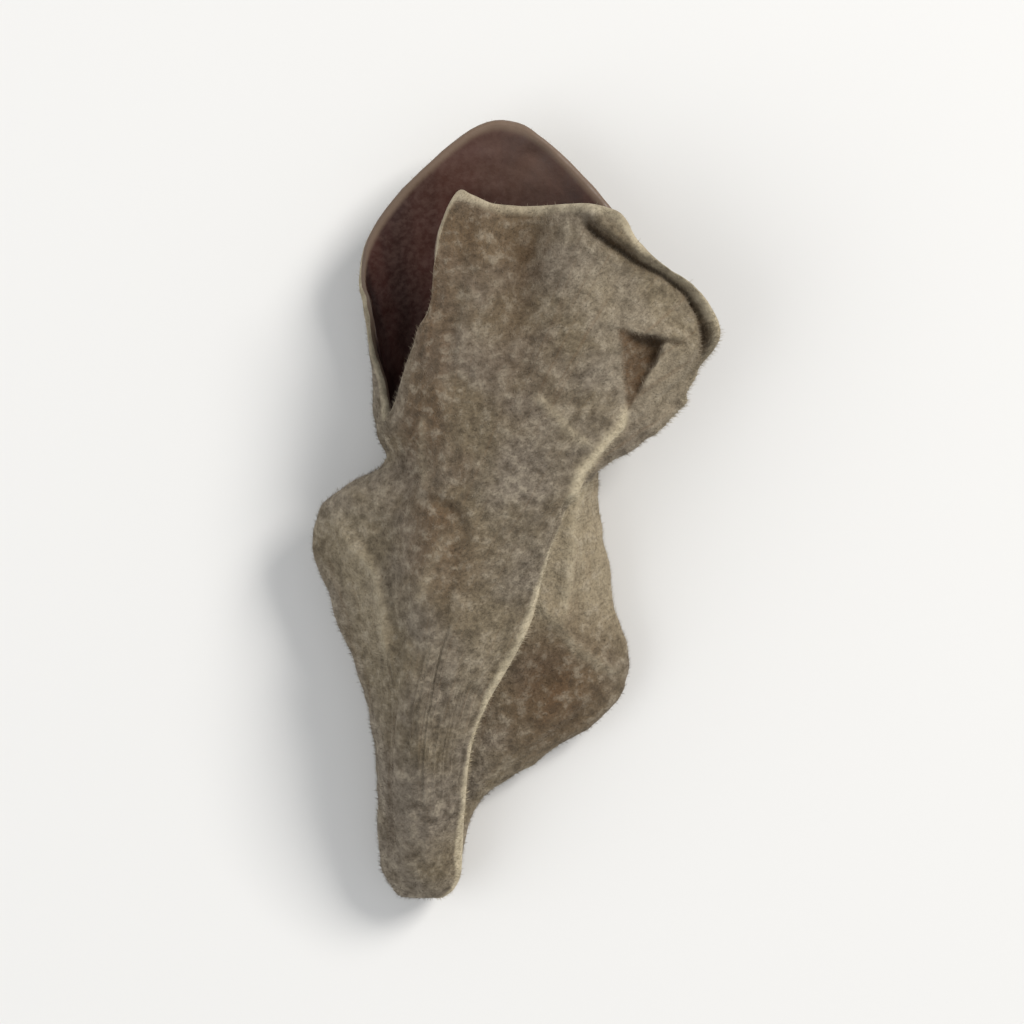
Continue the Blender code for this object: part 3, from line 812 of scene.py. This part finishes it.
def hairTree():
    tree = bpy.data.node_groups.new("felt_hairs", "GeometryNodeTree")
    face = tree.interface
    face.new_socket("Geometry", in_out="INPUT", socket_type="NodeSocketGeometry")
    numbers = {"First place": 0.0, "Last place": 1.0, "First row": 0.0, "Lowest": 0.0, "Density": 1.0e6,
               "Length": 0.0004, "Thickness": 0.00002, "Lean": 0.9, "Stray": 0.7}
    for name, value in numbers.items():
        face.new_socket(name, in_out="INPUT", socket_type="NodeSocketFloat").default_value = value
    face.new_socket("Seed", in_out="INPUT", socket_type="NodeSocketInt")
    face.new_socket("Fibre", in_out="INPUT", socket_type="NodeSocketMaterial")
    face.new_socket("Geometry", in_out="OUTPUT", socket_type="NodeSocketGeometry")
    nodes, links = tree.nodes, tree.links
    given = nodes.new("NodeGroupInput")
    result = nodes.new("NodeGroupOutput")

    def named(name, kind="FLOAT"):
        node = nodes.new("GeometryNodeInputNamedAttribute")
        node.data_type = kind
        node.inputs["Name"].default_value = name
        return node.outputs["Attribute"]

    def compare(first, operation, second):
        node = nodes.new("FunctionNodeCompare")
        node.operation = operation
        links.new(first, node.inputs[0])
        if isinstance(second, float):
            node.inputs[1].default_value = second
        else:
            links.new(second, node.inputs[1])
        return node.outputs[0]

    def both(first, second):
        node = nodes.new("FunctionNodeBooleanMath")
        links.new(first, node.inputs[0])
        links.new(second, node.inputs[1])
        return node.outputs[0]

    def vectorMath(operation, first, second=None, scale=None):
        node = nodes.new("ShaderNodeVectorMath")
        node.operation = operation
        links.new(first, node.inputs[0])
        if second is not None:
            links.new(second, node.inputs[1])
        if scale is not None:
            links.new(scale, node.inputs["Scale"])
        return node.outputs[0]

    across = named("across")
    height = nodes.new("ShaderNodeSeparateXYZ")
    links.new(nodes.new("GeometryNodeInputPosition").outputs[0], height.inputs[0])
    where = both(compare(named("outside"), "GREATER_THAN", 0.5),
                 both(compare(across, "GREATER_EQUAL", given.outputs["First place"]),
                      compare(across, "LESS_THAN", given.outputs["Last place"])))
    where = both(where, both(compare(named("along"), "GREATER_EQUAL", given.outputs["First row"]),
                             compare(height.outputs["Z"], "GREATER_THAN", given.outputs["Lowest"])))
    scatter = nodes.new("GeometryNodeDistributePointsOnFaces")
    links.new(given.outputs["Geometry"], scatter.inputs["Mesh"])
    links.new(where, scatter.inputs["Selection"])
    links.new(given.outputs["Density"], scatter.inputs["Density"])
    links.new(given.outputs["Seed"], scatter.inputs["Seed"])

    stray = nodes.new("FunctionNodeRandomValue")
    stray.data_type = "FLOAT_VECTOR"
    stray.inputs[0].default_value = (-1.0, -1.0, -1.0)
    links.new(given.outputs["Seed"], stray.inputs["Seed"])
    leaning = vectorMath("SCALE", named("veinWay", "FLOAT_VECTOR"), scale=given.outputs["Lean"])
    straying = vectorMath("SCALE", stray.outputs[0], scale=given.outputs["Stray"])
    way = vectorMath("ADD", vectorMath("ADD", scatter.outputs["Normal"], leaning), straying)
    align = nodes.new("FunctionNodeAlignEulerToVector")
    align.axis = "Z"
    links.new(way, align.inputs["Vector"])

    hair = nodes.new("GeometryNodeMeshCone")
    hair.inputs["Vertices"].default_value = 3
    links.new(given.outputs["Length"], hair.inputs["Depth"])
    links.new(given.outputs["Thickness"], hair.inputs["Radius Bottom"])
    hair.inputs["Radius Top"].default_value = 0.0

    size = nodes.new("FunctionNodeRandomValue")
    size.inputs[2].default_value = hairShape["shortest"]
    size.inputs[3].default_value = hairShape["longest"]
    links.new(given.outputs["Seed"], size.inputs["Seed"])
    place = nodes.new("GeometryNodeInstanceOnPoints")
    links.new(scatter.outputs["Points"], place.inputs["Points"])
    links.new(hair.outputs["Mesh"], place.inputs["Instance"])
    links.new(align.outputs["Rotation"], place.inputs["Rotation"])
    links.new(size.outputs[1], place.inputs["Scale"])
    real = nodes.new("GeometryNodeRealizeInstances")
    links.new(place.outputs["Instances"], real.inputs["Geometry"])
    finish = nodes.new("GeometryNodeSetMaterial")
    links.new(real.outputs["Geometry"], finish.inputs["Geometry"])
    links.new(given.outputs["Fibre"], finish.inputs["Material"])
    links.new(finish.outputs["Geometry"], result.inputs["Geometry"])
    return tree


def growHairs(tree, skin, name, settings, fibre):
    carrier = bpy.data.objects.new(name + "_carrier", skin.data)
    bpy.context.collection.objects.link(carrier)
    modifier = carrier.modifiers.new("felt", "NODES")
    modifier.node_group = tree
    sockets = {item.name: item.identifier for item in tree.interface.items_tree if item.in_out == "INPUT"}
    values = {
        "First place": settings["firstPlace"],
        "Last place": settings["lastPlace"],
        "First row": settings["firstRow"],
        "Lowest": hairShape["lowest"] * mm,
        "Density": settings["density"] * 1.0,
        "Length": settings["length"] * mm,
        "Thickness": hairShape["thickness"] * mm,
        "Lean": hairShape["lean"],
        "Stray": hairShape["stray"],
        "Seed": settings["seed"],
        "Fibre": fibre,
    }
    for socket, value in values.items():
        modifier[sockets[socket]] = value
    grown = bpy.data.meshes.new_from_object(carrier.evaluated_get(bpy.context.evaluated_depsgraph_get()))
    bpy.data.objects.remove(carrier, do_unlink=True)
    hairs = bpy.data.objects.new(name, grown)
    grown.name = name
    bpy.context.collection.objects.link(hairs)
    print(name + ":", len(grown.polygons) // 4, "hairs")
    return hairs


mesh = sheetMesh()
for finish in (feltedSkin(), innerSkin(), cutFlesh()):
    mesh.materials.append(finish)
ear = bpy.data.objects.new("dried_ear", mesh)
bpy.context.collection.objects.link(ear)
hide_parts("ear")
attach(ear, "root")
print("ear:", sum(len(face.vertices) - 2 for face in mesh.polygons), "triangles")

tree = hairTree()
fibre = hairFibre()
for name, settings in hairSettings.items():
    hairs = growHairs(tree, ear, name, settings, fibre)
    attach(hairs, "root")

# floor, light and camera, with places and sizes in metres
stageSettings = {
    "floorSize": 2.0,
    "floorColour": (0.72, 0.71, 0.69, 1.0),
    "lens": 100.0,
    "distance": 0.262,
    "lookAt": (0.0, 0.0, 0.006),
    "skyColour": (0.95, 0.97, 1.0, 1.0),
    "skyStrength": 0.52,
}
lamps = {
    "key": {"place": (0.68, 0.52, 0.72), "size": 0.4, "power": 11.8, "tint": (1.0, 0.98, 0.95)},
    "fill": {"place": (-0.8, -0.2, 0.7), "size": 1.0, "power": 5.0, "tint": (0.94, 0.97, 1.0)},
}


def pointAt(item, target):
    item.rotation_euler = (Vector(target) - item.location).to_track_quat("-Z", "Y").to_euler()


def addLamp(name, settings):
    data = bpy.data.lights.new(name, "AREA")
    data.size = settings["size"]
    data.energy = settings["power"]
    data.color = settings["tint"]
    lamp = bpy.data.objects.new(name, data)
    lamp.location = settings["place"]
    pointAt(lamp, stageSettings["lookAt"])
    bpy.context.collection.objects.link(lamp)


def paleFloor():
    half = stageSettings["floorSize"] / 2.0
    floorMesh = bpy.data.meshes.new("floor")
    corners = [(-half, -half, 0.0), (half, -half, 0.0), (half, half, 0.0), (-half, half, 0.0)]
    floorMesh.from_pydata(corners, [], [(0, 1, 2, 3)])
    floor = bpy.data.objects.new("floor", floorMesh)
    bpy.context.collection.objects.link(floor)
    material, nodes, links, shader = newMaterial("pale_floor")
    shader.inputs["Base Color"].default_value = stageSettings["floorColour"]
    shader.inputs["Roughness"].default_value = 0.9
    shader.inputs["Specular IOR Level"].default_value = 0.1
    floorMesh.materials.append(material)


paleFloor()
for name, settings in lamps.items():
    addLamp(name, settings)
world = bpy.data.worlds.new("studio")
world.use_nodes = True
sky = world.node_tree.nodes["Background"]
sky.inputs["Color"].default_value = stageSettings["skyColour"]
sky.inputs["Strength"].default_value = stageSettings["skyStrength"]
bpy.context.scene.world = world
bpy.context.scene.view_settings.view_transform = "Standard"

lensData = bpy.data.cameras.new("camera")
lensData.lens = stageSettings["lens"]
lensData.clip_start = 0.005
camera = bpy.data.objects.new("camera", lensData)
target = Vector(stageSettings["lookAt"])
camera.location = target + Vector((0.0, 0.0, stageSettings["distance"]))
camera.rotation_euler = (0.0, 0.0, 0.0)   # straight down, +Y is up in the picture
bpy.context.collection.objects.link(camera)
bpy.context.scene.camera = camera
print("stage: ready")

bpy.context.view_layer.update()
